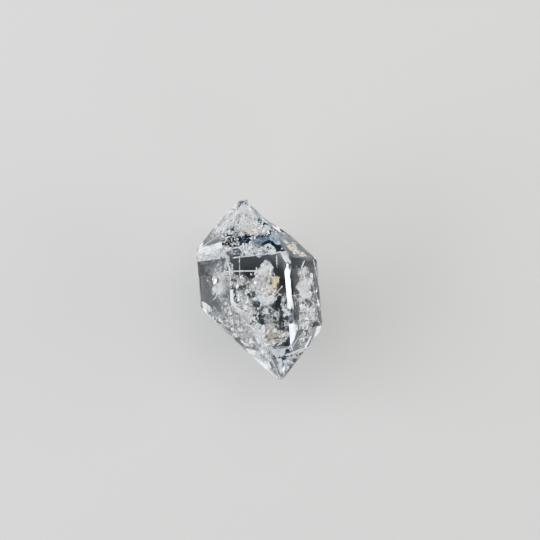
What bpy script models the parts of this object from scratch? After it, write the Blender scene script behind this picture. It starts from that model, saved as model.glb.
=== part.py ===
"""Herkimer diamond: a doubly terminated quartz crystal, lying on one prism face.

The long c axis runs along Y, +Z is up, and the origin is on the resting surface
under the middle of the crystal's box. Quartz faces meet at fixed angles, so the
crystal is a block cut back by planes. Each face has a bearing round the c axis, a
tilt of its normal away from that axis, and a distance from the crystal's middle.
Growth steps, pits and the break beside the upper point are then cut into it.
"""

import math

import bmesh
import bpy
from mathutils import Matrix, Vector, noise

MM = 0.001

# Tilt of each kind of face: the angle between its normal and the c axis, in degrees.
PRISM = 90.0
POINT = 51.79
CORNER = 65.56

# Distance of each face from the middle, in millimetres, against its bearing round the
# c axis in degrees: 0 is straight up, 90 is towards +X.
PRISM_FACES = {0: 5.70, 60: 6.14, 120: 5.60, 180: 5.65, 240: 5.96, 300: 5.19}
UPPER_POINT = {0: 6.63, 60: 6.57, 120: 6.04, 180: 5.80, 240: 7.76, 300: 7.22}
LOWER_POINT = {0: 7.06, 60: 7.67, 120: 7.38, 180: 6.95, 240: 5.57, 300: 4.99}
LENGTHS = {1: UPPER_POINT, -1: LOWER_POINT}

# Small faces that take a corner off: end of the crystal, bearing, depth off the corner.
CORNER_FACES = [
    (1, 30, 0.20),
    (1, 270, 0.08),
    (1, 150, 0.12),
    (-1, 90, 0.14),
    (-1, 270, 0.10),
    (-1, 210, 0.09),
]

# Prism faces that lean in a little towards a point: bearing, lean, height where it starts.
LEANING_FACES = [(0, 1.6, 1.95), (300, 2.4, 3.55), (60, 1.5, 1.9), (240, 2.0, -2.4), (120, 1.2, -1.5)]

# Worn edges between prism faces: bearing of the edge, width taken off.
WORN_EDGES = [(30, 0.16), (90, 0.04), (330, 0.06), (270, 0.04)]

# Worn points: height along the c axis where each is blunted, and the tilt, number, first
# bearing and depth of the facets round it.
POINT_ENDS = {1: 10.03, -1: 10.05}
BLUNT_TILT = 24.0
BLUNT_SIDES = 6
BLUNT_BEARING = 15.0
BLUNT_DEPTH = 0.035

# Growth steps: end, kind of face, bearing, middle across and up the face, width, height,
# turn in the face, depth, and lean of the floor.
STEPS = [
    ("plate_left", 1, POINT, 0, (-2.95, 0.55), (3.00, 3.10), 0.0, 0.070, 0.6),
    ("plate_blue", 1, POINT, 0, (0.82, 1.55), (1.75, 1.30), 28.8, 0.090, -2.6),
    ("plate_right", 1, POINT, 0, (2.75, 1.35), (1.30, 0.95), -52.0, 0.080, -3.4),
    ("ledge_front", -1, POINT, 0, (1.75, -5.15), (4.20, 5.00), 2.5, 0.080, 0.0),
    ("ledge_side", -1, POINT, 60, (0.30, -2.05), (2.70, 1.70), 8.0, 0.070, 2.0),
    ("plate_side", 1, POINT, 60, (-0.60, 1.10), (2.20, 1.50), -24.0, 0.060, 2.4),
    ("plate_under", 1, POINT, 180, (1.20, 2.00), (3.40, 2.20), 12.0, 0.080, 1.5),
    ("ledge_under", -1, POINT, 120, (0.40, -2.60), (3.00, 2.40), -9.0, 0.080, -1.6),
    ("plate_back", 1, POINT, 240, (-0.30, 1.70), (2.60, 1.90), 18.0, 0.070, 1.8),
    ("ledge_back", 1, PRISM, 240, (0.60, 0.60), (2.30, 3.00), 0.0, 0.060, 1.0),
    ("strip_right", 1, PRISM, 120, (-0.40, 1.60), (2.10, 1.80), 0.0, 0.050, 0.8),
]

# Flakes gone from the faces: end, kind of face, bearing, place, length, width, turn, depth.
PITS = [
    (-1, POINT, 300, (-2.75, 0.55), 1.10, 0.50, 38.0, 0.075),
    (-1, POINT, 300, (-0.15, 0.35), 0.90, 0.42, 12.0, 0.060),
    (-1, POINT, 300, (0.45, -0.45), 0.80, 0.36, -20.0, 0.060),
    (-1, POINT, 300, (-1.15, -1.90), 1.20, 0.44, -52.0, 0.070),
    (-1, POINT, 300, (-0.60, -3.30), 1.40, 0.40, -58.0, 0.070),
    (-1, POINT, 300, (1.60, -4.60), 1.00, 0.36, -40.0, 0.060),
    (-1, POINT, 240, (0.90, -1.40), 1.10, 0.50, 30.0, 0.070),
    (1, POINT, 0, (0.55, 3.30), 1.50, 0.80, -32.0, 0.110),
    (1, POINT, 0, (1.70, 2.70), 1.20, 0.60, 15.0, 0.090),
    (1, POINT, 0, (-0.80, 4.60), 1.30, 0.55, 70.0, 0.070),
    (1, POINT, 180, (-1.20, 4.20), 1.20, 0.60, 25.0, 0.080),
    (1, PRISM, 120, (1.20, -2.10), 1.30, 0.50, 80.0, 0.060),
]

# Scoops of the break beside the upper point: middle, half sizes along, across and up,
# turn of the long way in the plan, and depth of its ripples.
SCOOPS = [
    ("break_long", (4.00, 9.62, 2.60), (6.40, 3.60, 4.20), -43.5, 0.055),
    ("break_short", (1.78, 9.08, 1.60), (2.70, 1.75, 2.60), -50.0, 0.045),
]
RIPPLE_LENGTH = 1.3

REST_DEPTH = PRISM_FACES[180]
BLOCK = 60.0
CUTTER_HEIGHT = 2.0


def normal_of(bearing, tilt, end=1):
    """Outward normal of a crystal face; end is 1 for the +Y point and -1 for the other."""
    turn, lean = math.radians(bearing), math.radians(tilt)
    across = math.sin(lean)
    return Vector((math.sin(turn) * across, end * math.cos(lean), math.cos(turn) * across))


def distance_of(end, tilt, bearing):
    return PRISM_FACES[bearing] if tilt == PRISM else LENGTHS[end][bearing]


def face_frame(end, tilt, bearing):
    """Frame on a face: X across it, Y up it towards the +Y point, Z out of it."""
    out = normal_of(bearing, tilt, end)
    turn = math.radians(bearing)
    across = Vector((math.cos(turn), 0, -math.sin(turn)))
    up = out.cross(across)
    frame = Matrix((across, up, out)).transposed().to_4x4()
    frame.translation = out * distance_of(end, tilt, bearing)
    return frame


def cut_back(solid, normal, distance):
    """Takes off what lies beyond the plane at that distance, and closes the cut."""
    cut = bmesh.ops.bisect_plane(
        solid,
        geom=solid.verts[:] + solid.edges[:] + solid.faces[:],
        dist=1e-5,
        plane_co=normal * distance,
        plane_no=normal,
        clear_outer=True,
    )
    rim = [part for part in cut["geom_cut"] if isinstance(part, bmesh.types.BMEdge)]
    if rim:
        bmesh.ops.contextual_create(solid, geom=rim)


def reach_of(solid, normal):
    """How far the solid reaches along a normal."""
    return max(vert.co.dot(normal) for vert in solid.verts)


def cut_main_faces(solid):
    for bearing, distance in PRISM_FACES.items():
        cut_back(solid, normal_of(bearing, PRISM), distance)
    for end, point in LENGTHS.items():
        for bearing, distance in point.items():
            cut_back(solid, normal_of(bearing, POINT, end), distance)


def cut_small_faces(solid):
    for end, bearing, depth in CORNER_FACES:
        normal = normal_of(bearing, CORNER, end)
        cut_back(solid, normal, reach_of(solid, normal) - depth)
    for bearing, lean, start in LEANING_FACES:
        end = 1 if start > 0 else -1
        normal = normal_of(bearing, PRISM - lean, end)
        foot = normal_of(bearing, PRISM) * PRISM_FACES[bearing] + Vector((0, start, 0))
        cut_back(solid, normal, foot.dot(normal))
    for bearing, width in WORN_EDGES:
        normal = normal_of(bearing, PRISM)
        depth = width / 2 * math.tan(math.radians(30))
        cut_back(solid, normal, reach_of(solid, normal) - depth)


def blunt_points(solid):
    for end, height in POINT_ENDS.items():
        cut_back(solid, Vector((0, end, 0)), height)
        for side in range(BLUNT_SIDES):
            normal = normal_of(side * 360 / BLUNT_SIDES + BLUNT_BEARING, BLUNT_TILT, end)
            cut_back(solid, normal, reach_of(solid, normal) - BLUNT_DEPTH)


def middle_of_box(solid, axis):
    reach = [vert.co[axis] for vert in solid.verts]
    return (min(reach) + max(reach)) / 2


def add_object(solid, name, group, place):
    """Makes an object of a solid drawn in millimetres round the crystal's middle."""
    bmesh.ops.recalc_face_normals(solid, faces=solid.faces[:])
    bmesh.ops.scale(solid, verts=solid.verts[:], vec=(MM, MM, MM))
    mesh = bpy.data.meshes.new(name)
    solid.to_mesh(mesh)
    solid.free()
    thing = bpy.data.objects.new(name, mesh)
    thing.location = place
    group.objects.link(thing)
    return thing


def add_collection(name):
    group = bpy.data.collections.new(name)
    bpy.context.scene.collection.children.link(group)
    return group


def quartz_material():
    material = bpy.data.materials.new("clear_quartz")
    material.use_nodes = True
    shader = material.node_tree.nodes["Principled BSDF"]
    shader.inputs["Base Color"].default_value = (0.90, 0.91, 0.92, 1)
    shader.inputs["Metallic"].default_value = 0.0
    shader.inputs["Roughness"].default_value = 0.04
    shader.inputs["IOR"].default_value = 1.544
    shader.inputs["Transmission Weight"].default_value = 1.0
    return material


def add_crystal(group):
    solid = bmesh.new()
    bmesh.ops.create_cube(solid, size=BLOCK)
    cut_main_faces(solid)
    cut_small_faces(solid)
    blunt_points(solid)
    place = Vector((-middle_of_box(solid, 0), -middle_of_box(solid, 1), REST_DEPTH)) * MM
    crystal = add_object(solid, "crystal", group, place)
    crystal.data.materials.append(quartz_material())
    return crystal


def add_step_cutter(group, location, name, end, tilt, bearing, place, size, turn, depth, lean):
    """A block whose floor lies just under the face, so that it leaves a low ledge."""
    solid = bmesh.new()
    bmesh.ops.create_cube(solid, size=1.0)
    where = (
        face_frame(end, tilt, bearing)
        @ Matrix.Translation((place[0], place[1], -depth))
        @ Matrix.Rotation(math.radians(turn), 4, "Z")
        @ Matrix.Rotation(math.radians(lean), 4, "X")
        @ Matrix.Translation((0, 0, CUTTER_HEIGHT / 2))
        @ Matrix.Diagonal((size[0], size[1], CUTTER_HEIGHT, 1))
    )
    bmesh.ops.transform(solid, matrix=where, verts=solid.verts[:])
    return add_object(solid, name, group, location)


def add_pit_cutter(group, location, name, end, tilt, bearing, place, length, width, turn, depth):
    """A shallow lens, sunk so that it takes off a flake of that length, width and depth."""
    bulge = (width * width / 4 + depth * depth) / (2 * depth)
    solid = bmesh.new()
    bmesh.ops.create_icosphere(solid, subdivisions=4, radius=bulge)
    for vert in solid.verts:
        vert.co *= 1 + depth / bulge * 0.8 * noise.noise(vert.co * 2.6 / width + Vector((turn, length, 0)))
    where = (
        face_frame(end, tilt, bearing)
        @ Matrix.Translation((place[0], place[1], 0))
        @ Matrix.Rotation(math.radians(turn), 4, "Z")
        @ Matrix.Diagonal((length / width, 1, 1, 1))
        @ Matrix.Translation((0, 0, bulge - depth))
    )
    bmesh.ops.transform(solid, matrix=where, verts=solid.verts[:])
    return add_object(solid, name, group, location)


def add_scoop_cutter(group, location, name, middle, half, turn, ripple):
    """A rippled ellipsoid, for the shell-shaped hollow that broken quartz shows."""
    solid = bmesh.new()
    bmesh.ops.create_icosphere(solid, subdivisions=5, radius=1.0)
    where = (
        Matrix.Translation(middle)
        @ Matrix.Rotation(math.radians(turn), 4, "Z")
        @ Matrix.Diagonal((half[0], half[1], half[2], 1))
    )
    bmesh.ops.transform(solid, matrix=where, verts=solid.verts[:])
    centre = Vector(middle)
    for vert in solid.verts:
        out = (vert.co - centre).normalized()
        wave = math.sin(2 * math.pi * vert.co.z / RIPPLE_LENGTH + vert.co.x)
        rough = noise.noise(vert.co * 1.1)
        vert.co += out * ripple * (wave + rough)
    return add_object(solid, name, group, location)


def cut_with(crystal, cutter):
    cutter.hide_render = True
    cutter.display_type = "WIRE"
    cut = crystal.modifiers.new(cutter.name, "BOOLEAN")
    cut.operation = "DIFFERENCE"
    cut.solver = "EXACT"
    cut.object = cutter


for old in list(bpy.data.objects):
    bpy.data.objects.remove(old)

crystal = add_crystal(add_collection("herkimer_diamond"))
cutters = add_collection("cutters")
for scoop in SCOOPS:
    cut_with(crystal, add_scoop_cutter(cutters, crystal.location, *scoop))
for step in STEPS:
    cut_with(crystal, add_step_cutter(cutters, crystal.location, *step))
for count, pit in enumerate(PITS):
    cut_with(crystal, add_pit_cutter(cutters, crystal.location, f"flake_{count + 1}", *pit))
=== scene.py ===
import math

import bpy
import numpy as np
from mathutils import Matrix, Vector, noise
from mathutils.bvhtree import BVHTree


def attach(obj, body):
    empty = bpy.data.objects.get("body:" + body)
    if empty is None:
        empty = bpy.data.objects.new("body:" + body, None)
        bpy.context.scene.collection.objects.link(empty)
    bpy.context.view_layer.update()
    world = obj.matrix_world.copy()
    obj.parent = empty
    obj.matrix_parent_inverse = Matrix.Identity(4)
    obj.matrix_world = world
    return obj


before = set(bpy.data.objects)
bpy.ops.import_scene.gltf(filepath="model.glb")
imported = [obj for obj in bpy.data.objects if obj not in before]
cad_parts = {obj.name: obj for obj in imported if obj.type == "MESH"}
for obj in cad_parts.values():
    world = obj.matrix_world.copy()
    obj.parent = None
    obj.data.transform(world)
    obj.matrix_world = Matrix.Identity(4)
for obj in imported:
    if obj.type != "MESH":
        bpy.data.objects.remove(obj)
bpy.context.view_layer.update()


# The crystal: one piece of rock quartz, colourless and very clear, that grew free in a
# pocket and so has a point at each end. Its faces are natural growth faces, glassy, with
# fine growth lines; one is frosted, and the upper point has a rough, shell-like break.
MM = 0.001
QUARTZ_INDEX = 1.544
QUARTZ_TINT = (0.985, 0.99, 1.0)
# Painted shade: a grey absorption, much stronger than clear quartz has, that darkens the body.
PAINTED_SHADE_TINT = (0.47, 0.5, 0.54)
PAINTED_SHADE_DENSITY = 120.0
GROWTH_GRAIN = (160, 2600, 160)
GROWTH_STRENGTH = 0.12
GROWTH_DEPTH = 0.05 * MM
ETCH_GRAIN = 2600.0
ETCH_RANGE = (0.42, 0.62)
ETCH_ROUGHNESS = 0.22
FROSTED_BEARING = 300
FROSTED_LEAN = 2.4
SAME_FACE = 0.9997
BREAK_FROM = 8.3 * MM
BREAK_SWAY = 4 * MM
BREAK_GRAIN = 700.0
BREAK_STRENGTH = 0.5
BREAK_DEPTH = 0.2 * MM


def shader_of(material):
    return material.node_tree.nodes["Principled BSDF"]


def new_material(name, colour, roughness):
    material = bpy.data.materials.new(name)
    material.use_nodes = True
    shader = shader_of(material)
    shader.inputs["Base Color"].default_value = (*colour, 1)
    shader.inputs["Roughness"].default_value = roughness
    return material


def clear_material(name, colour, roughness):
    """A material that light passes through as it does through quartz."""
    material = new_material(name, colour, roughness)
    shader_of(material).inputs["IOR"].default_value = QUARTZ_INDEX
    shader_of(material).inputs["Transmission Weight"].default_value = 1.0
    return material


def add_node(tree, kind, values=(), **settings):
    """A shader node with its settings, its inputs linked or set from values."""
    node = tree.nodes.new(kind)
    for setting, value in settings.items():
        setattr(node, setting, value)
    for socket, value in values:
        if isinstance(value, bpy.types.NodeSocket):
            tree.links.new(value, node.inputs[socket])
        else:
            node.inputs[socket].default_value = value
    return node


def math_node(tree, operation, first, second, third=0.0):
    values = [(0, first), (1, second), (2, third)]
    return add_node(tree, "ShaderNodeMath", values, operation=operation).outputs[0]


def noise_node(tree, place, scale, detail=2.0):
    """Noise with that many grains to each unit of place."""
    values = [("Vector", place), ("Scale", scale), ("Detail", detail)]
    return add_node(tree, "ShaderNodeTexNoise", values).outputs["Fac"]


def stretch_node(tree, value, low, high, darkest=0.0):
    """A value stretched so that low gives the darkest and high gives one."""
    values = [("Value", value), ("From Min", low), ("From Max", high), ("To Min", darkest)]
    return add_node(tree, "ShaderNodeMapRange", values).outputs[0]


def bump_node(tree, height, strength, distance, under=()):
    """A slight relief, on top of the one under it."""
    values = [("Height", height), ("Strength", strength), ("Distance", distance), *under]
    return add_node(tree, "ShaderNodeBump", values).outputs["Normal"]


def frosted_face(tree, place):
    """One on the frosted face, which is known by the way it faces, and nought elsewhere."""
    turn, lean = math.radians(FROSTED_BEARING), math.radians(FROSTED_LEAN)
    facing = (math.sin(turn) * math.cos(lean), math.sin(lean), math.cos(turn) * math.cos(lean))
    values = [(0, place.outputs["Normal"]), (1, facing)]
    match = add_node(tree, "ShaderNodeVectorMath", values, operation="DOT_PRODUCT")
    return math_node(tree, "GREATER_THAN", match.outputs["Value"], SAME_FACE)


def broken_point(tree, place, clouds):
    """One on the break at the upper point, whose lower limit sways with the clouds."""
    along = add_node(tree, "ShaderNodeSeparateXYZ", [(0, place.outputs["Object"])]).outputs["Y"]
    swayed = math_node(tree, "MULTIPLY_ADD", clouds, BREAK_SWAY, along)
    return math_node(tree, "GREATER_THAN", swayed, BREAK_FROM)


def quartz_material():
    """Clear quartz: faint growth lines, a frosted face, a matt break at the upper point, and a grey
    absorption that darkens the body as painted shade.
    """
    material = clear_material("clear_quartz", QUARTZ_TINT, 0.0)
    tree, shader = material.node_tree, shader_of(material)
    # The grey absorption is painted shade that darkens the body.
    values = [("Color", (*PAINTED_SHADE_TINT, 1)), ("Density", PAINTED_SHADE_DENSITY)]
    deep = add_node(tree, "ShaderNodeVolumeAbsorption", values)
    tree.links.new(deep.outputs["Volume"], tree.nodes["Material Output"].inputs["Volume"])
    place = add_node(tree, "ShaderNodeTexCoord")
    spot = place.outputs["Object"]
    clouds = noise_node(tree, spot, BREAK_GRAIN, 3.0)
    broken = broken_point(tree, place, clouds)
    etched = stretch_node(tree, noise_node(tree, spot, ETCH_GRAIN, 4.0), *ETCH_RANGE)
    matt = math_node(tree, "MAXIMUM", frosted_face(tree, place), broken)
    roughness = math_node(tree, "MULTIPLY", math_node(tree, "MULTIPLY", matt, etched), ETCH_ROUGHNESS)
    tree.links.new(roughness, shader.inputs["Roughness"])
    across = add_node(tree, "ShaderNodeMapping", [("Vector", spot), ("Scale", GROWTH_GRAIN)]).outputs[0]
    grown = bump_node(tree, noise_node(tree, across, 1.0, 3.0), GROWTH_STRENGTH, GROWTH_DEPTH)
    rough = math_node(tree, "MULTIPLY", broken, clouds)
    raised = bump_node(tree, rough, BREAK_STRENGTH, BREAK_DEPTH, [("Normal", grown)])
    tree.links.new(raised, shader.inputs["Normal"])
    return material


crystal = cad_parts["crystal"]
crystal.data.materials.clear()
crystal.data.materials.append(quartz_material())
for face in crystal.data.polygons:
    face.use_smooth = False


# The healed cracks: sheets of thousands of tiny fluid bubbles, milky white where they
# crowd, left where a crack closed again while the crystal grew. They lie wholly inside.
# Their outlines are seen through the faces from above, in mm right and up of the middle.
MIDDLE = Vector((-0.17, -0.015, 5.65))
EYE_HEIGHT_ANGLE = 86.0
EYE_ROLL = -4.8
EYE_AWAY = 130.0
SKIN = 0.12
JUST_UNDER = 0.001
NOISE_REACH = 50
SCATTER_ROUNDS = 40
RIM_GRAIN = 0.6
CLOUD_SHARE = 0.9
LINE_SHARE = 0.5
LINE_GRAIN = 0.8
LINE_SHARPNESS = 7
VEIL_THICKNESS = 0.04
THREAD_GRAIN = 0.35
THREAD_FUZZ = 0.3
WISP_GRAIN = 0.6
WISP_COVER = -0.2
WISP_CURL = 1.2
WISP_WOBBLE = 3
WISP_LENGTH_SPREAD = 0.4
WISP_STEP = 0.012
WISP_FUZZ = 0.012
WISP_HEIGHT = 0.12
BUBBLE_REACH = 0.42
BUBBLE_SIZE_SPREAD = 0.5
BUBBLE_WIDTHS = (0.5, 1)
BUBBLE_HEIGHTS = (0.2, 0.5)
BUBBLE_ROUGHNESS = 0.35
TINT_GRAIN = 420.0
TINT_RANGE = (0.42, 0.58)
GREY_GRAIN = 3200.0
GREY_RANGE = (0.38, 0.58)


def eye_axes():
    """Right, up and back of someone who looks down on the crystal."""
    height, roll = math.radians(EYE_HEIGHT_ANGLE), math.radians(EYE_ROLL)
    back = Vector((0, -math.cos(height), math.sin(height)))
    across, up = Vector((1, 0, 0)), back.cross(Vector((1, 0, 0)))
    right = across * math.cos(roll) + up * math.sin(roll)
    return right, up * math.cos(roll) - across * math.sin(roll), back


def surface_of(piece):
    """The outside of a piece, in mm, for finding what lies under a point of it."""
    corners = [piece.matrix_world @ vert.co / MM for vert in piece.data.vertices]
    return BVHTree.FromPolygons(corners, [face.vertices[:] for face in piece.data.polygons])


RIGHT, TOP, BACK = eye_axes()
EYE = MIDDLE + BACK * EYE_AWAY
OUTSIDE = surface_of(crystal)


def inside(u, v, depth):
    """The point that deep in the quartz, along the bent sight line of a spot of an outline.

    None where the line misses the crystal or leaves it before that depth.
    """
    sight = (MIDDLE + RIGHT * u + TOP * v - EYE).normalized()
    hit, normal, _, _ = OUTSIDE.ray_cast(EYE, sight)
    if hit is None:
        return None
    lean, squeeze = -normal.dot(sight), 1 / QUARTZ_INDEX
    bent = sight * squeeze + normal * (squeeze * lean - math.sqrt(1 - squeeze ** 2 * (1 - lean ** 2)))
    far = OUTSIDE.ray_cast(hit + bent * JUST_UNDER, bent)[3]
    if far is None or depth > far - SKIN:
        return None
    return hit + bent * depth


def depth_into(spots, outline):
    """How far each spot lies inside a closed outline, in mm, and below nought outside it."""
    corners = np.array(outline)
    nearest = np.full(len(spots), np.inf)
    within = np.zeros(len(spots), dtype=bool)
    for first, last in zip(corners, np.roll(corners, -1, axis=0)):
        run = last - first
        share = np.clip(((spots - first) @ run) / (run @ run), 0, 1)
        nearest = np.minimum(nearest, np.linalg.norm(spots - first - share[:, None] * run, axis=1))
        crosses = (first[1] > spots[:, 1]) != (last[1] > spots[:, 1])
        rise = np.where(crosses, last[1] - first[1], 1.0)
        within ^= crosses & (spots[:, 0] < first[0] + (spots[:, 1] - first[1]) / rise * run[0])
    return np.where(within, nearest, -nearest)


def random_shift(rng):
    """A random shift of the noise, so that no two pieces are alike."""
    return Vector(rng.uniform(-NOISE_REACH, NOISE_REACH, 3))


def scatter(rng, outline, count, grain, cover, soft=0.5, ragged=0.3):
    """Spots in an outline: soft clouds of the grain's size, crowded along fine wavy lines.

    A lower cover leaves fewer holes between the clouds. The spots thin out over the soft
    rim, and the rim itself wanders by as much as ragged says.
    """
    low, high = np.min(outline, axis=0) - ragged, np.max(outline, axis=0) + ragged
    shift = random_shift(rng)
    spots = []
    for _ in range(SCATTER_ROUNDS):
        tries = rng.uniform(low, high, (count, 2))
        for spot, chance, within in zip(tries, rng.random(count), depth_into(tries, outline)):
            flat = Vector((*spot, 0))
            within += ragged * noise.noise(flat / RIM_GRAIN + shift)
            if within <= 0:
                continue
            cloud = max(0, noise.fractal(flat / grain - shift, 1.0, 2.0, 4) - cover)
            wave = abs(noise.noise(flat / (LINE_GRAIN * grain) + shift * 2))
            line = max(0, 1 - LINE_SHARPNESS * wave)
            if chance < (CLOUD_SHARE * cloud + LINE_SHARE * line) * min(1, within / soft) ** 2:
                spots.append(spot)
        if len(spots) >= count:
            break
    return np.array(spots[:count])


def veil_points(rng, outline, count, depth, grain, cover, slope=(0, 0), bend=0.0, **rim):
    """Points on a sheet at that depth in the middle of its outline, sloped and bent."""
    centre = np.mean(outline, axis=0)
    shift = random_shift(rng)
    points = []
    for u, v in scatter(rng, outline, count, grain, cover, **rim):
        wave = noise.fractal(Vector((u, v, 0)) / (2.0 * grain) + shift, 1.0, 2.0, 3)
        deep = depth + slope[0] * (u - centre[0]) + slope[1] * (v - centre[1])
        deep += bend * wave + rng.normal() * VEIL_THICKNESS
        point = inside(u, v, max(deep, SKIN))
        if point is not None:
            points.append(point)
    return np.array(points)


def thread_points(rng, route, count, width, depth, deeper):
    """Points on an upright crack whose upper edge follows a route."""
    lengths = [math.dist(a, b) for a, b in zip(route, route[1:])]
    shift = random_shift(rng)
    points = []
    for _ in range(count):
        way = rng.uniform(0, sum(lengths))
        for (a, b), length in zip(zip(route, route[1:]), lengths):
            if way <= length:
                break
            way -= length
        share = way / length
        u, v = a[0] + (b[0] - a[0]) * share, a[1] + (b[1] - a[1]) * share
        place = Vector((u, v, 0)) / THREAD_GRAIN
        u += (noise.noise(place + shift) + rng.normal() * THREAD_FUZZ) * width
        v += (noise.noise(place - shift) + rng.normal() * THREAD_FUZZ) * width
        point = inside(u, v, depth + rng.uniform(0, deeper))
        if point is not None:
            points.append(point)
    return np.array(points)


def wisp_points(rng, outline, count, length, depth, deeper):
    """Points along many short, curved cracks that lie scattered in an outline."""
    points = []
    for u, v in scatter(rng, outline, count, WISP_GRAIN, WISP_COVER):
        heading = rng.uniform(0, math.tau)
        turning = rng.normal() * WISP_CURL
        down = depth + rng.uniform(0, deeper)
        reach = length * math.exp(rng.normal() * WISP_LENGTH_SPREAD)
        for _ in range(int(reach / WISP_STEP)):
            heading += (turning + rng.normal() * WISP_WOBBLE) * WISP_STEP / length
            u, v = u + math.cos(heading) * WISP_STEP, v + math.sin(heading) * WISP_STEP
            beside, beyond = u + rng.normal() * WISP_FUZZ, v + rng.normal() * WISP_FUZZ
            point = inside(beside, beyond, down + rng.uniform(0, WISP_HEIGHT))
            if point is not None:
                points.append(point)
    return np.array(points)


def small_bubble():
    """Corners and faces of the simplest closed shape, about one across."""
    corners = np.array([(1, 1, 1), (-1, -1, 1), (-1, 1, -1), (1, -1, -1)]) * BUBBLE_REACH
    return corners, np.array([(0, 2, 1), (0, 1, 3), (0, 3, 2), (1, 2, 3)])


def random_turns(rng, count):
    """That many random rotation matrices."""
    q = rng.normal(size=(count, 4))
    q /= np.linalg.norm(q, axis=1)[:, None]
    w, x, y, z = q.T
    return np.stack([
        np.stack([1 - 2 * (y * y + z * z), 2 * (x * y - z * w), 2 * (x * z + y * w)], -1),
        np.stack([2 * (x * y + z * w), 1 - 2 * (x * x + z * z), 2 * (y * z - x * w)], -1),
        np.stack([2 * (x * z - y * w), 2 * (y * z + x * w), 1 - 2 * (x * x + y * y)], -1),
    ], 1)


def add_mesh(name, corners, faces, material):
    """A piece inside the crystal, from corners in mm."""
    mesh = bpy.data.meshes.new(name)
    mesh.from_pydata((np.asarray(corners) * MM).tolist(), [], [tuple(map(int, face)) for face in faces])
    mesh.materials.append(material)
    mesh.update()
    piece = bpy.data.objects.new(name, mesh)
    bpy.context.scene.collection.objects.link(piece)
    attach(piece, "root")


def add_bubbles(name, rng, points, size, look):
    """Joins one tiny flattened bubble at each point into a piece."""
    corners, faces = small_bubble()
    count = len(points)
    sizes = size * np.exp(rng.normal(0, BUBBLE_SIZE_SPREAD, count))
    widths = rng.uniform(*BUBBLE_WIDTHS, count)
    heights = rng.uniform(*BUBBLE_HEIGHTS, count)
    flattened = corners[None] * np.stack([np.ones(count), widths, heights], -1)[:, None]
    placed = np.einsum("nij,nkj->nki", random_turns(rng, count), flattened)
    placed = placed * sizes[:, None, None] + points[:, None]
    joined = faces[None] + (np.arange(count) * len(corners))[:, None, None]
    add_mesh(name, placed.reshape(-1, 3), joined.reshape(-1, 3), look)


def veil_material(name, warm, cool, darkest=0.75):
    """Bubbles that look warmer or cooler from place to place, and a little greyer here and there."""
    material = new_material(name, warm, BUBBLE_ROUGHNESS)
    tree = material.node_tree
    place = add_node(tree, "ShaderNodeTexCoord").outputs["Object"]
    coolness = stretch_node(tree, noise_node(tree, place, TINT_GRAIN), *TINT_RANGE)
    greyness = stretch_node(tree, noise_node(tree, place, GREY_GRAIN, 4.0), *GREY_RANGE, darkest)
    tint = add_node(tree, "ShaderNodeMix", [("Factor", coolness)], data_type="RGBA")
    tint.inputs["A"].default_value = (*warm, 1)
    tint.inputs["B"].default_value = (*cool, 1)
    values = [(0, tint.outputs["Result"]), ("Scale", greyness)]
    shade = add_node(tree, "ShaderNodeVectorMath", values, operation="SCALE")
    tree.links.new(shade.outputs["Vector"], shader_of(material).inputs["Base Color"])
    return material


milk = veil_material("veil_white", (0.99, 0.97, 0.92), (0.92, 0.96, 1.0), 0.8)
# The warm look paints the bright yellowish strip under the upper right face: a painted highlight.
warm = veil_material("warm_highlight_look", (0.98, 0.92, 0.76), (0.98, 0.95, 0.86))
draw = np.random.default_rng(11)


def add_veil(name, outline, bubbles, size, look=milk, **sheet):
    """A sheet of bubbles under an outline."""
    add_bubbles(name, draw, veil_points(draw, outline, bubbles, **sheet), size, look)


def add_thread(name, route, bubbles, size, **crack):
    """An upright crack along a route, seen as a fine bright line."""
    add_bubbles(name, draw, thread_points(draw, route, bubbles, **crack), size, milk)


def add_wisps(name, outline, cracks, size, **crack):
    """Short curved cracks, strewn under an outline."""
    add_bubbles(name, draw, wisp_points(draw, outline, cracks, **crack), size, milk)


# The milky patch, in two sheets that meet in the middle of the front face.
add_veil(
    "veil_milk_top",
    [(0.3, 3.2), (0.9, 3.6), (1.9, 3.4), (2.3, 2.6), (2, 1.8), (0.9, 1.3), (-0.4, 1.5), (-0.2, 2.2)],
    bubbles=8500, size=0.038, depth=0.4, slope=(0.15, -0.15), bend=0.25, grain=0.8, cover=-0.3,
    soft=1.4, ragged=0.6
)
add_veil(
    "veil_milk",
    [(-0.4, 1.8), (1.4, 1.9), (1.7, 0.7), (2.2, -0.3), (1.9, -1.4), (0.5, -1.7), (-0.5, -0.8),
     (-0.9, 0.5)],
    bubbles=14000, size=0.038, depth=0.5, slope=(-0.15, 0.15), bend=0.3, grain=0.9, cover=-0.35,
    soft=1.6, ragged=0.6
)

# Fainter veils and hazes under the rest of the front face.
add_veil(
    "veil_front_left",
    [(-3, 2), (-0.9, 1.9), (-1, -0.4), (0.4, -2.1), (0.4, -3.7), (-2.6, -1.8)],
    bubbles=6000, size=0.035, depth=1.9, slope=(0.2, 0.15), bend=0.8, grain=1.2, cover=-0.3,
    soft=1.1, ragged=0.5
)
add_veil(
    "veil_haze",
    [(0.4, -1.7), (2.7, -1.8), (2.6, -4.2), (0.7, -4)],
    bubbles=2200, size=0.035, depth=2.6, slope=(0.2, 0.15), bend=0.8, grain=0.7, cover=0.0, soft=0.9
)
add_veil(
    "veil_quad",
    [(-4.3, 5.1), (-3.9, 5.9), (-2, 6), (-1.8, 3.95), (-3.1, 3.8)],
    bubbles=1300, size=0.04, depth=0.5, bend=0.4, grain=0.22, cover=0.05, soft=0.1, ragged=0.05
)
add_veil(
    "veil_front_right",
    [(2.4, -0.2), (3.5, 0.2), (3.7, -3.8), (2.7, -4.2), (2.7, -2)],
    bubbles=2000, size=0.045, depth=1.6, slope=(0.2, 0.15), bend=0.8, grain=0.6, cover=0.0, soft=0.8
)
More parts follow.
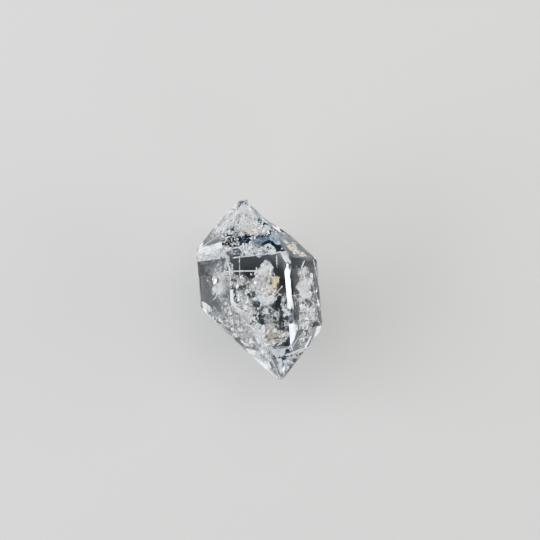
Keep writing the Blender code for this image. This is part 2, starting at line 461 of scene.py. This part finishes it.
add_veil(
    "veil_front_low",
    [(0.7, -4.2), (3.5, -4.3), (3.4, -5.9), (1.1, -6.1)],
    bubbles=1200, size=0.045, depth=1.6, slope=(0.2, 0.15), bend=0.6, grain=0.6, cover=0.0
)

# Veils under the faces to the left and the right, and under those of the lower point.
add_veil(
    "veil_left",
    [(-4.9, 2.5), (-2.9, 2.5), (-2.9, -2.3), (-5.4, -0.6), (-5.4, 0.6)],
    bubbles=4000, size=0.04, depth=1.0, slope=(0.2, 0.0), bend=0.5, grain=1.0, cover=-0.3, soft=1.3,
    ragged=0.5
)
add_veil(
    "veil_right",
    [(4.3, 2.7), (5.9, 2.6), (6.1, -1.3), (4.5, -1.5)],
    bubbles=15000, size=0.04, depth=0.5, slope=(0.0, 0.1), bend=0.3, grain=1.0, cover=-0.4,
    soft=1.1, ragged=0.4
)
add_veil(
    "veil_right_low",
    [(4.5, -1.2), (7.1, -1.3), (6.6, -3.6), (4.9, -4.6)],
    bubbles=3000, size=0.045, depth=0.9, bend=0.5, grain=0.6, cover=0.0, soft=0.8
)
add_veil(
    "veil_low_left",
    [(-5.3, -2.9), (0.6, -8.1), (1.7, -6.5), (0.4, -3.9), (-3.2, -1.1)],
    bubbles=3500, size=0.045, depth=0.8, slope=(0, 0.1), bend=0.5, grain=0.5, cover=0.05
)
add_veil(
    "veil_low_right",
    [(2.81, -7.82), (4.68, -6.06), (6.11, -5.51), (3.03, -9.47)],
    bubbles=2200, size=0.045, depth=0.7, bend=0.4, grain=0.5, cover=0.0
)

# Veils under the upper point and the band below it, and frosting just under two faces.
add_veil(
    "veil_tip",
    [(-2.04, 9.47), (-1.27, 9.81), (-0.39, 8.81), (0.5, 7.49), (1.93, 6.39), (0.5, 5.9), (-3.6, 6.3),
     (-3.91, 7.49)],
    bubbles=3500, size=0.045, depth=0.5, bend=0.4, grain=0.5, cover=0.0
)
add_veil(
    "frost_band",
    [(-6.8, 4.19), (-4.24, 5.18), (-3.19, 3.64), (-6.7, 3.08)],
    bubbles=6000, size=0.035, depth=0.13, grain=0.4, cover=-0.7, soft=0.01, ragged=0.0
)
add_veil(
    "frost_tip",
    [(-6.3, 4.9), (-5.3, 5.9), (-3.6, 8.5), (-2.6, 9.4), (-1.9, 9.9), (-1.2, 9.9), (-0.5, 8.9),
     (0.1, 8.1), (0.5, 7.6), (1.9, 6.8), (2.8, 6.3), (0.5, 6.15), (-1.9, 5.95), (-3.6, 6.1), (-3.7, 6.7)],
    bubbles=6000, size=0.034, depth=0.14, bend=0.2, grain=0.6, cover=-0.1, soft=0.1, ragged=0.1
)
add_veil(
    "veil_band",
    [(-1.8, 5.3), (-0.3, 4.95), (0.2, 4.7), (1.3, 5.25), (2, 4.75), (2.3, 4.2), (-1.8, 3.9)],
    bubbles=3500, size=0.045, depth=0.6, bend=0.4, grain=0.4, cover=0.0, soft=0.05, ragged=0.02
)

# Painted highlights: dense sheets of bubbles close under a face, white where a facet looks bright and
# warm where a strip looks bright and yellowish.
add_veil(
    "warm_highlight_strip",
    [(2.8, 5.5), (3.8, 5.4), (5.5, 3.75), (4.9, 3.7), (3.5, 4.5)],
    bubbles=4500, size=0.04, look=warm, depth=0.4, bend=0.2, grain=0.4, cover=-0.3, soft=0.15,
    ragged=0.1
)
add_veil(
    "pale_facet_highlight",
    [(2.5, 4.3), (3.4, 4.3), (3.65, 3), (2.95, 3.6)],
    bubbles=1500, size=0.035, depth=0.3, grain=0.6, cover=-0.8, soft=0.01, ragged=0.0
)
add_veil(
    "low_facet_highlight",
    [(1.05, -6.3), (3.3, -6.27), (3, -7.25), (2.2, -7.55), (1.7, -7.1)],
    bubbles=3400, size=0.04, depth=0.3, grain=0.6, cover=-0.6, soft=0.15, ragged=0.05
)
add_veil(
    "corner_facet_highlight",
    [(-6.2, -1.1), (-5.2, -1.9), (-5.05, -2.4), (-5.7, -2.3), (-6, -1.9)],
    bubbles=1800, size=0.045, depth=0.2, bend=0.1, grain=0.4, cover=-0.6, soft=0.1, ragged=0.1
)

# Straight cracks across the front face, and white threads along its upper edge and in the upper left
# corner that paint bright edge lines as painted highlights.
add_thread(
    "thread_crack",
    [(-2.92, 2.15), (-1.4, 2.18), (0.17, 2.2)],
    bubbles=1500, size=0.045, width=0.02, depth=0.6, deeper=0.8
)
add_thread(
    "thread_cross_left",
    [(-3.1, 3.8), (-3.08, 2.3)],
    bubbles=250, size=0.035, width=0.015, depth=0.5, deeper=0.5
)
add_thread(
    "thread_cross_middle",
    [(-1.93, 3.6), (-1.9, 1.5)],
    bubbles=300, size=0.035, width=0.015, depth=0.5, deeper=0.5
)
add_thread(
    "thread_cross_right",
    [(2.15, 3.9), (2.2, 2.6)],
    bubbles=250, size=0.035, width=0.015, depth=0.5, deeper=0.5
)
# Painted highlight: a bright line along the upper edge.
add_thread(
    "top_edge_highlight",
    [(-2.7, 3.62), (0.5, 4), (3.3, 4.35)],
    bubbles=1100, size=0.035, width=0.015, depth=0.14, deeper=0.1
)
# Painted highlight: the light line in the dark wedge.
add_thread(
    "wedge_highlight_line",
    [(-6.3, 4.55), (-5.4, 5.25), (-4.1, 6.15)],
    bubbles=500, size=0.04, width=0.03, depth=0.2, deeper=0.2
)

# Bent cracks in the middle, and a bright streak and a spike under the right face.
add_thread(
    "thread_diagonal",
    [(1.16, -1.43), (2, -0.4), (2.81, 0.55)],
    bubbles=1100, size=0.045, width=0.02, depth=0.9, deeper=1.2
)
add_thread(
    "thread_arc",
    [(-2.6, 0.1), (-2.85, -0.35), (-2.65, -1.1), (-2.3, -1.7)],
    bubbles=1500, size=0.05, width=0.06, depth=0.4, deeper=0.3
)
add_thread(
    "thread_arc_low",
    [(-2.48, -1.65), (-1.7, -2.2), (-1.05, -2.42), (-0.3, -3), (0.1, -3.6), (0.5, -3.86)],
    bubbles=800, size=0.045, width=0.05, depth=0.5, deeper=0.2
)
add_thread(
    "thread_streak",
    [(5.12, 2.42), (5.25, 1), (5.34, -0.77)],
    bubbles=2400, size=0.045, width=0.08, depth=0.15, deeper=0.1
)
add_thread(
    "thread_spike",
    [(5.2, 3.3), (4.9, 2.5)],
    bubbles=500, size=0.045, width=0.06, depth=0.4, deeper=0.3
)

# Cracks along the edges of the lower point and of the sides; the white threads right along the edges
# paint bright edge lines as painted highlights.
# Painted highlight: a bright line along an edge of the lower point.
add_thread(
    "low_edge_highlight",
    [(0.5, -5.18), (1.05, -6.28), (2.48, -9.7)],
    bubbles=1200, size=0.04, width=0.02, depth=0.15, deeper=0.1
)
add_thread(
    "thread_low_line",
    [(1.05, -6.25), (3.4, -6.2)],
    bubbles=600, size=0.04, width=0.015, depth=0.3, deeper=0.3
)
add_thread(
    "thread_low_right",
    [(3.4, -7.05), (4.5, -6.7), (5.5, -6.3)],
    bubbles=2200, size=0.045, width=0.09, depth=0.3, deeper=0.2
)
add_thread(
    "thread_vee",
    [(3.58, -6.61), (4.57, -5.18), (5.3, -4.6)],
    bubbles=900, size=0.045, width=0.03, depth=0.5, deeper=0.5
)
# Painted highlight: the bright line of glints along the lower left edge.
add_thread(
    "edge_highlight_left",
    [(-5.75, -2.45), (-3.9, -4.25), (-1.4, -6.7), (0.5, -8.25), (2.3, -9.65)],
    bubbles=3200, size=0.045, width=0.06, depth=0.15, deeper=0.1
)
# Painted highlight: a bright line along the right edge.
add_thread(
    "edge_highlight_right",
    [(6.15, 3.4), (6.9, 0), (7.15, -3.4)],
    bubbles=900, size=0.04, width=0.02, depth=0.15, deeper=0.1
)

# Rays that spread through the right face.
add_thread(
    "thread_ray_long",
    [(4.9, -0.7), (5.8, -2.1), (6.9, -3.6)],
    bubbles=500, size=0.04, width=0.02, depth=0.5, deeper=0.4
)
add_thread(
    "thread_ray_high",
    [(5.9, 1.2), (6.4, -0.4), (7, -2.2)],
    bubbles=400, size=0.04, width=0.02, depth=0.4, deeper=0.3
)
add_thread(
    "thread_ray_low",
    [(4.6, -2.2), (5.4, -3.6), (5.9, -4.9)],
    bubbles=450, size=0.04, width=0.02, depth=0.5, deeper=0.4
)

# Short curved cracks between the larger ones.
add_wisps(
    "wisps_milk",
    [(0.3, 3.2), (1.9, 3.3), (2.4, 1.5), (2.2, -1.4), (0.5, -1.7), (-1, 0.5), (-0.4, 2)],
    cracks=70, size=0.045, length=0.5, depth=0.3, deeper=0.4
)
add_wisps(
    "wisps_front",
    [(-2.9, 1.9), (2.6, -0.6), (3.2, -3.5), (3.2, -6), (0.9, -6), (0.3, -3.6), (-2.5, -2)],
    cracks=70, size=0.035, length=0.4, depth=0.4, deeper=1.2
)
add_wisps(
    "wisps_low_left",
    [(-5.3, -2.9), (0.6, -8.1), (1.7, -6.5), (0.4, -3.9), (-3.2, -1.1)],
    cracks=90, size=0.045, length=0.5, depth=0.3, deeper=0.8
)
add_wisps(
    "wisps_right",
    [(4.5, 0.4), (6.9, -0.4), (6.4, -5.2), (3, -9), (2.9, -7.8), (4.7, -5.5)],
    cracks=60, size=0.04, length=0.6, depth=0.4, deeper=0.6
)
add_wisps(
    "wisps_left",
    [(-5.9, 2.8), (-3, 2.6), (-3.1, -1.3), (-5.6, -1.8)],
    cracks=22, size=0.03, length=0.35, depth=0.4, deeper=0.8
)
add_wisps(
    "wisps_tip",
    [(-2, 9.2), (-1.3, 9.6), (-0.4, 8.6), (1.9, 6.4), (0.4, 6.1), (-1.9, 6.1), (-3.6, 6.6)],
    cracks=45, size=0.04, length=0.5, depth=0.3, deeper=0.6
)


# The stain: a film of ochre iron oxide on one of the healed cracks, just under the
# milky patch, a fainter brown one low in the front face, and a speck of rust in the tip.
ochre = veil_material("stain_ochre", (0.85, 0.71, 0.40), (0.82, 0.72, 0.48), 0.7)
brown = veil_material("stain_brown", (0.58, 0.48, 0.34), (0.66, 0.60, 0.50), 0.6)
rust = veil_material("stain_rust", (0.42, 0.25, 0.11), (0.50, 0.33, 0.16), 0.6)
add_veil(
    "stain_ochre",
    [(1.75, 1.55), (2.5, 1.6), (2.65, 0.95), (2.2, 0.2), (1.9, -0.4), (1.4, 0), (1.45, 0.8)],
    bubbles=1900, size=0.045, look=ochre, depth=0.14, bend=0.05, grain=0.5, cover=-0.35, soft=0.6,
    ragged=0.2
)
add_veil(
    "stain_brown",
    [(0.72, -4.28), (3.3, -4.4), (3.2, -5.95), (1.05, -6.17)],
    bubbles=3600, size=0.045, look=brown, depth=0.5, bend=0.3, grain=0.8, cover=-0.3, soft=0.7,
    ragged=0.4
)
add_veil(
    "stain_rust",
    [(-2.25, 8.25), (-1.95, 8.35), (-1.8, 8.1), (-2, 7.85), (-2.2, 7.95)],
    bubbles=120, size=0.05, look=rust, depth=0.2, bend=0.1, grain=0.2, cover=-0.3, soft=0.1,
    ragged=0.1
)


# The flakes: small open cracks, each a thin gap of air in the quartz that mirrors the
# light like silver. They crowd where the crystal was strained, mostly low on the left.
GAP = 0.012
FLAKE_SIDES = 9
FLAKE_INNER_RING = 0.6
FLAKE_RAGGED = 0.5
FLAKE_RAGGED_GRAIN = 1.4
FLAKE_NARROW = (0.3, 0.9)
FLAKE_BENDS = (0.02, 0.25)
FLAKE_BEND_GRAIN = 1.3
FLAKE_SIZE_SPREAD = 0.5
FLAKE_TURN_SPREAD = 0.4
WEAK_SHARE = 0.7
FLAKE_SKIN = 0.02
SHRINK_TRIES = 6
SHRINK_STEP = 0.7
FLAKE_DEPTH_SPREAD = 0.8
GAP_ROUGHNESS = 0.02
GAP_GRAIN = 5000.0
GAP_STRENGTH = 0.1
GAP_RELIEF = 0.03 * MM


def flake_shape(rng, point, radius, lean):
    """Corners of one ragged, slightly bent flake: its rim, two inner rings and two middles.

    Most flakes follow the two directions, leaning left and right, in which this quartz is
    weak. Lean is the usual tilt from flat and its spread, in degrees.
    """
    weak = math.pi * rng.integers(2) + rng.normal() * FLAKE_TURN_SPREAD
    tilt = math.radians(rng.normal(*lean))
    turn = weak if rng.random() < WEAK_SHARE else rng.uniform(0, math.tau)
    facing = Vector((math.sin(tilt) * math.cos(turn), math.sin(tilt) * math.sin(turn), math.cos(tilt)))
    side = facing.orthogonal().normalized()
    other = facing.cross(side)
    shift = random_shift(rng)
    narrow = rng.uniform(*FLAKE_NARROW)
    bend = radius * rng.uniform(*FLAKE_BENDS)
    rings = []
    for share, lift in ((1.0, 0), (FLAKE_INNER_RING, GAP / 2), (FLAKE_INNER_RING, -GAP / 2)):
        for step in range(FLAKE_SIDES):
            angle = math.tau * step / FLAKE_SIDES
            spoke = Vector((math.cos(angle), math.sin(angle), 0))
            ragged = 1 + FLAKE_RAGGED * noise.noise(spoke * FLAKE_RAGGED_GRAIN + shift)
            flat = (side * math.cos(angle) + other * math.sin(angle) * narrow) * radius * share * ragged
            bent = bend * noise.noise(flat / radius * FLAKE_BEND_GRAIN + shift)
            rings.append(point + flat + facing * (lift + bent))
    middle = point + facing * bend * noise.noise(shift)
    return rings + [middle + facing * GAP / 2, middle - facing * GAP / 2]


def flake_faces(first):
    """Faces of a flake, turned to its inside, because the gap is air and quartz is outside."""
    n, faces = FLAKE_SIDES, []
    over, under = first + 3 * n, first + 3 * n + 1
    for step in range(n):
        rim, rim_next = first + step, first + (step + 1) % n
        faces += [(rim, rim + n, rim_next + n, rim_next), (rim + n, over, rim_next + n)]
        faces += [(rim_next, rim_next + 2 * n, rim + 2 * n, rim), (rim_next + 2 * n, under, rim + 2 * n)]
    return faces


def shrunk_to_fit(shape, point):
    """The flake made smaller about its point until every corner lies in the quartz, or None."""
    for _ in range(SHRINK_TRIES):
        nearest = [OUTSIDE.find_nearest(corner) for corner in shape]
        if all((corner - near[0]).dot(near[1]) < -FLAKE_SKIN for corner, near in zip(shape, nearest)):
            return shape
        shape = [point + (corner - point) * SHRINK_STEP for corner in shape]
    return None


def add_flakes(name, rng, points, size, lean):
    """Joins a flake at each point into a piece, and leaves out those that don't fit."""
    corners, faces = [], []
    for point in points:
        radius = size * math.exp(rng.normal() * FLAKE_SIZE_SPREAD)
        shape = shrunk_to_fit(flake_shape(rng, Vector(point), radius, lean), Vector(point))
        if shape is not None:
            faces += flake_faces(len(corners))
            corners += shape
    add_mesh(name, corners, faces, gap_material)


def make_gap_material():
    """The bare walls of an open crack: quartz against air, a little uneven."""
    material = clear_material("quartz_crack", (1, 1, 1), GAP_ROUGHNESS)
    tree = material.node_tree
    place = add_node(tree, "ShaderNodeTexCoord").outputs["Object"]
    raised = bump_node(tree, noise_node(tree, place, GAP_GRAIN), GAP_STRENGTH, GAP_RELIEF)
    tree.links.new(raised, shader_of(material).inputs["Normal"])
    return material


gap_material = make_gap_material()


def add_flake_cloud(name, outline, flakes, size, lean, depth, **cloud):
    """Flakes under an outline, at depths that vary strongly."""
    points = veil_points(draw, outline, flakes, depth, bend=depth * FLAKE_DEPTH_SPREAD, **cloud)
    add_flakes(name, draw, points, size, lean)


def add_edge_flakes(name, route, flakes, size, lean, **crack):
    """Flakes along an edge of the crystal."""
    add_flakes(name, draw, thread_points(draw, route, flakes, **crack), size, lean)


add_flake_cloud(
    "flakes_low_left",
    [(-5.2, -2.9), (0.5, -7.93), (1.6, -6.61), (0.6, -4), (-3.2, -1.1)],
    flakes=420, size=0.18, lean=(46, 12), depth=0.5, grain=0.6, cover=-0.2
)
add_flake_cloud(
    "flakes_tip",
    [(-2.04, 9.3), (-1.27, 9.6), (-0.39, 8.6), (0.5, 7.3), (1.8, 6.3), (0.5, 5.8), (-5, 5.6),
     (-3.91, 7.3)],
    flakes=140, size=0.26, lean=(42, 20), depth=0.6, grain=0.4, cover=0.0
)
add_flake_cloud(
    "flakes_band",
    [(-2, 5.4), (-0.2, 5.5), (0.2, 4.9), (2.3, 4.7), (2.4, 4.2), (-2, 3.9)],
    flakes=60, size=0.34, lean=(45, 18), depth=0.7, grain=0.4, cover=-0.1
)
add_flake_cloud(
    "flakes_break",
    [(-1.4, 7.9), (0.6, 7.3), (2.2, 6.5), (0.4, 6.1), (-1, 6.3)],
    flakes=60, size=0.3, lean=(45, 18), depth=0.4, grain=0.4, cover=-0.1
)
add_flake_cloud(
    "flakes_front_low",
    [(0.7, -4.1), (3.4, -4.3), (3.4, -5.9), (1.2, -6.1)],
    flakes=90, size=0.24, lean=(46, 12), depth=0.8, grain=0.4, cover=-0.1
)
add_flake_cloud(
    "flakes_milk",
    [(-0.6, 1.6), (0.5, 3.2), (1.8, 3), (1.9, -1.3), (0.4, -1.4), (-0.9, 0.2)],
    flakes=150, size=0.16, lean=(46, 9), depth=0.5, grain=0.6, cover=-0.2
)
add_flake_cloud(
    "flakes_front",
    [(-2.9, 2), (0.5, 2.4), (2.6, 0.6), (3.2, -3.5), (3, -1.8), (1, -1.8), (0.3, -3.6), (-2.5, -2)],
    flakes=110, size=0.18, lean=(46, 10), depth=0.8, grain=0.5, cover=0.0
)
add_flake_cloud(
    "flakes_bright",
    [(-4.5, -2.9), (0.3, -7.3), (1.4, -5.9), (2.6, -2), (1.5, 0.5), (-1.5, 0.5), (-3, -1.2)],
    flakes=80, size=0.24, lean=(46, 5), depth=0.5, grain=0.8, cover=-0.4
)
add_flake_cloud(
    "flakes_left",
    [(-5.2, 2.6), (-3, 2.6), (-3.2, -1.1), (-5.4, -1.5)],
    flakes=50, size=0.2, lean=(50, 20), depth=0.8, grain=0.4, cover=0.1
)
add_flake_cloud(
    "flakes_right",
    [(4.3, 2.6), (6.2, 2.6), (6.6, -1.5), (4.6, -1.2)],
    flakes=45, size=0.24, lean=(45, 20), depth=0.8, grain=0.4, cover=0.0
)
add_flake_cloud(
    "flakes_right_low",
    [(4.5, -1.2), (6.9, -1.2), (6, -5.2), (3, -9), (2.9, -7.8), (4.6, -5.5)],
    flakes=190, size=0.22, lean=(46, 12), depth=0.6, grain=0.5, cover=-0.1
)
add_flake_cloud(
    "flakes_high_right",
    [(2.5, 5.7), (3.8, 5.4), (5.6, 3.8), (4.7, 3.7), (3.1, 4.4)],
    flakes=60, size=0.26, lean=(45, 18), depth=0.5, grain=0.4, cover=-0.1
)
add_edge_flakes(
    "chips_low_left",
    [(-5.7, -2.5), (-3.9, -4.3), (-1.4, -6.75), (0.5, -8.3), (2.2, -9.6)],
    flakes=170, size=0.18, lean=(46, 12), width=0.15, depth=0.2, deeper=0.3
)
add_edge_flakes(
    "chips_corner",
    [(-5.9, -1.5), (-5.1, -2.3)],
    flakes=40, size=0.2, lean=(46, 12), width=0.25, depth=0.2, deeper=0.3
)


# The blue reflections: sheets of very fine bubbles under the upper front face, coloured steel blue and
# sky blue as painted reflections of bluish light, with a dark bent line left clear between them, and a
# paler one in the lower point.
# Painted reflections: these blue colours stand in for bluish light mirrored in the facets.
steel = veil_material("steel_blue_reflection", (0.34, 0.42, 0.50), (0.26, 0.36, 0.46), 0.55)
sky = veil_material("sky_blue_reflection", (0.42, 0.56, 0.70), (0.34, 0.52, 0.70), 0.6)
pale_blue = veil_material("pale_blue_reflection", (0.78, 0.91, 1.0), (0.95, 0.98, 1.0))


def add_blue_reflection(name, outline, look):
    """A painted blue reflection: a flat sheet of very fine bubbles just under the face."""
    add_veil(
        name,
        outline,
        bubbles=3000, size=0.035, look=look, depth=0.35, slope=(0.2, 0.1), grain=0.5, cover=-0.8,
        soft=0.01, ragged=0.0
    )


add_blue_reflection(
    "blue_reflection_left",
    [(-0.7, 5.55), (0.9, 5.95), (1.22, 6.05), (1.36, 5.62), (0.1, 5.05), (-0.5, 5.15)],
    steel
)
add_blue_reflection(
    "blue_reflection_right",
    [(1.26, 6.07), (2.2, 6.3), (2.6, 5.2), (2.3, 5), (1.4, 5.62)],
    sky
)
# A painted pale blue reflection in the lower point.
add_veil(
    "flame_blue_reflection",
    [(2.1, -7.5), (2.65, -7.4), (2.85, -8.4), (2.6, -9.45), (2.35, -8.7)],
    bubbles=1300, size=0.04, look=pale_blue, depth=0.3, bend=0.1, grain=0.4, cover=-0.6,
    soft=0.15, ragged=0.1
)


# The setting for the picture: a plain pale floor, soft boxes of light above it, and a
# camera over the crystal, looking down from where the photograph was taken.
PICTURE = 540
FOCAL_PIXELS = 1180.0
CRYSTAL_PIXEL = (257.5, 290.0)
SENSOR = 36.0
CAMERA_SEES = (0.005, 5.0)
FLOOR_ACROSS = 1.6
FLOOR_DROP = 0.02
FLOOR_GREY = (0.22, 0.22, 0.217)
FLOOR_ROUGHNESS = 0.85
BOX_AWAY = 0.42
SMALL_BOX = (0.20, 0.16)
ROOM_LIGHT = (0.06, 0.065, 0.075)


def add_camera():
    aside = (CRYSTAL_PIXEL[0] - PICTURE / 2) / FOCAL_PIXELS * EYE_AWAY
    below = (CRYSTAL_PIXEL[1] - PICTURE / 2) / FOCAL_PIXELS * EYE_AWAY
    lens = bpy.data.cameras.new("camera")
    lens.sensor_width = SENSOR
    lens.lens = SENSOR * FOCAL_PIXELS / PICTURE
    lens.clip_start, lens.clip_end = CAMERA_SEES
    camera = bpy.data.objects.new("camera", lens)
    bpy.context.scene.collection.objects.link(camera)
    turned = Matrix((RIGHT, TOP, BACK)).transposed().to_4x4()
    camera.matrix_world = Matrix.Translation((EYE - RIGHT * aside + TOP * below) * MM) @ turned
    bpy.context.scene.camera = camera


def add_floor():
    bpy.ops.mesh.primitive_plane_add(size=FLOOR_ACROSS, location=(0, 0, -FLOOR_DROP * MM))
    floor = bpy.context.object
    floor.name = "floor"
    floor.data.materials.append(new_material("floor_pale", FLOOR_GREY, FLOOR_ROUGHNESS))


def add_softbox(name, bearing, height, size, power, colour):
    """A soft box that faces the crystal: bearing from +Y towards +X, height above the floor."""
    turn, lift = math.radians(bearing), math.radians(height)
    out = Vector((math.sin(turn) * math.cos(lift), math.cos(turn) * math.cos(lift), math.sin(lift)))
    light = bpy.data.lights.new(name, "AREA")
    light.shape = "RECTANGLE"
    light.size, light.size_y = size
    light.energy = power
    light.color = colour
    box = bpy.data.objects.new(name, light)
    bpy.context.scene.collection.objects.link(box)
    box.location = out * BOX_AWAY
    box.rotation_euler = out.to_track_quat("Z", "Y").to_euler()


def add_world():
    world = bpy.data.worlds.new("studio")
    world.use_nodes = True
    world.node_tree.nodes["Background"].inputs["Color"].default_value = (*ROOM_LIGHT, 1)
    bpy.context.scene.world = world


add_camera()
add_floor()
add_softbox("window", bearing=-15, height=50, size=(0.60, 0.22), power=3.6, colour=(1.0, 0.99, 0.97))
add_softbox("high_right", bearing=60, height=50, size=SMALL_BOX, power=1.0, colour=(1.0, 0.98, 0.94))
add_softbox("front_left", bearing=-60, height=30, size=SMALL_BOX, power=1.0, colour=(0.96, 0.98, 1.0))
add_softbox("low_back", bearing=160, height=15, size=SMALL_BOX, power=0.8, colour=(0.92, 0.96, 1.0))
add_softbox("warm_side", bearing=97, height=13, size=(0.46, 0.14), power=5.8, colour=(1.0, 0.97, 0.93))
add_softbox("left_side", bearing=-95, height=19, size=(0.46, 0.22), power=6.8, colour=(0.94, 0.97, 1.0))
add_world()
bpy.context.scene.view_settings.look = "AgX - Very High Contrast"
bpy.context.scene.view_settings.exposure = -0.12
bpy.context.scene.cycles.max_bounces = 32
bpy.context.scene.cycles.transmission_bounces = 32
bpy.context.scene.cycles.glossy_bounces = 16
